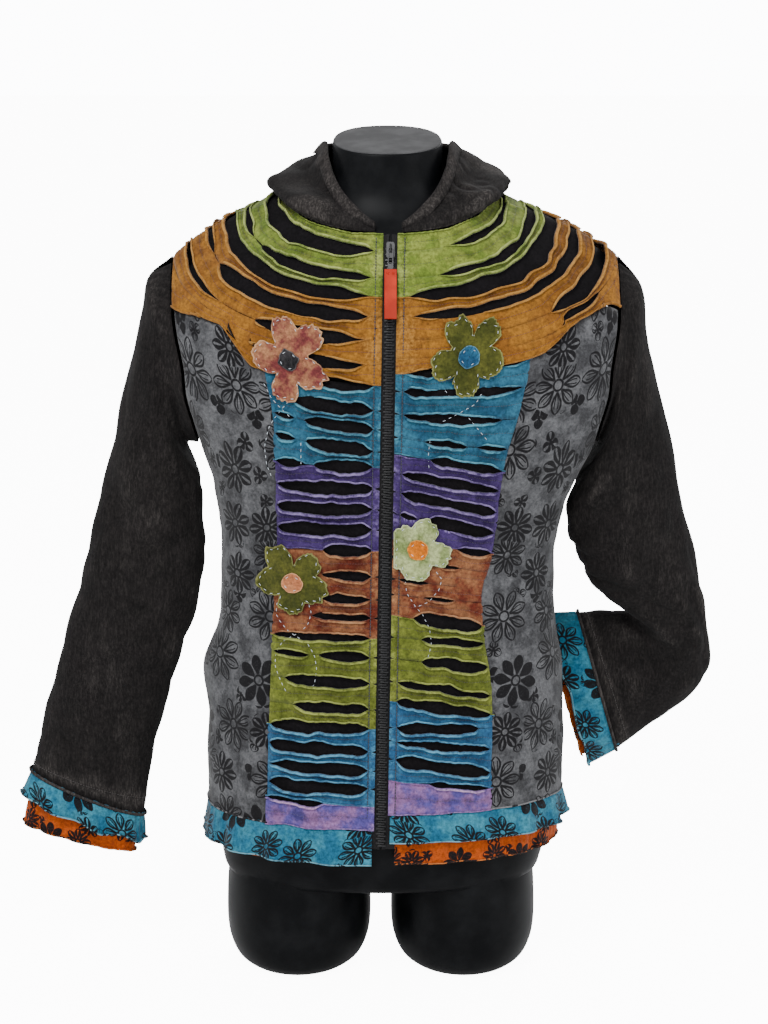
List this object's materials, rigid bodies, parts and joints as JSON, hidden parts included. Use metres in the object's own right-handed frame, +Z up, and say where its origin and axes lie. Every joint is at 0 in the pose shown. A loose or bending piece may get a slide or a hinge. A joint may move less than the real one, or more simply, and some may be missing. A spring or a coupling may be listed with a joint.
{
  "type": "hooded patchwork jersey jacket on a torso form",
  "caption": "Hooded zip jacket of slashed patchwork jersey with applique flowers and ruffled cuffs and hem, worn by a limbless torso form that stands on its stubs.",
  "frame": {"origin": "on the floor under the middle of the overall box, sleeves included", "axes": "+Z up, the jacket faces -Y, +X is to the right of someone who looks at its front"},
  "size_m": [0.7358, 0.245, 0.884],
  "materials": {
    "form": "satin",
    "underlay": "matt jersey",
    "green": "matt jersey",
    "orange": "matt jersey",
    "blue": "matt jersey",
    "purple": "matt jersey",
    "rust": "matt jersey",
    "olive": "matt jersey",
    "lake": "matt jersey",
    "lilac": "matt jersey",
    "grey_print": "printed jersey",
    "stonewash": "stonewashed jersey",
    "blue_print": "printed jersey",
    "orange_print": "printed jersey",
    "pink": "matt jersey",
    "moss": "matt jersey",
    "pale_green": "matt jersey",
    "patch": "matt jersey",
    "black_tape": "woven zip tape",
    "dark_metal": "dark nickel",
    "red_rubber": "matt"
  },
  "bodies": {
    "jacket": {"form": "form", "back": "stonewash", "hood": "stonewash", "zip_chain": "black_tape", "zip_slider": "dark_metal", "yoke_green_left": "green", "yoke_orange_left": "orange", "yoke_underlay_left": "underlay", "blue_left": "blue", "purple_left": "purple", "rust_left": "rust", "olive_left": "olive", "lake_left": "lake", "lilac_left": "lilac", "centre_underlay_left": "underlay", "side_front_left": "grey_print", "hem_ruffle_left": "blue_print", "hem_band_left": "orange_print", "sleeve_left": "stonewash", "cuff_ruffle_left": "blue_print", "cuff_band_left": "orange_print", "hood_band_left": "stonewash", "zip_tape_left": "black_tape", "yoke_green_right": "green", "yoke_orange_right": "orange", "yoke_underlay_right": "underlay", "blue_right": "blue", "purple_right": "purple", "rust_right": "rust", "olive_right": "olive", "lake_right": "lake", "lilac_right": "lilac", "centre_underlay_right": "underlay", "side_front_right": "grey_print", "hem_ruffle_right": "blue_print", "hem_band_right": "orange_print", "sleeve_right": "stonewash", "cuff_ruffle_right": "blue_print", "cuff_band_right": "orange_print", "hood_band_right": "stonewash", "zip_tape_right": "black_tape", "flower_chest_left": "pink", "flower_centre_chest_left": "patch", "flower_chest_right": "moss", "flower_centre_chest_right": "patch", "flower_belly_left": "moss", "flower_centre_belly_left": "patch", "flower_belly_right": "pale_green", "flower_centre_belly_right": "patch"},
    "pull_tab": {"zip_puller": "dark_metal", "zip_tag": "red_rubber"}
  },
  "joints": [
    {"name": "pull_tab_swing", "type": "hinge", "parent": "jacket", "child": "pull_tab", "pos_m": [0.03088, -0.09158, 0.77281], "axis": [-1, 0, 0], "range_deg": [0, 120]}
  ]
}
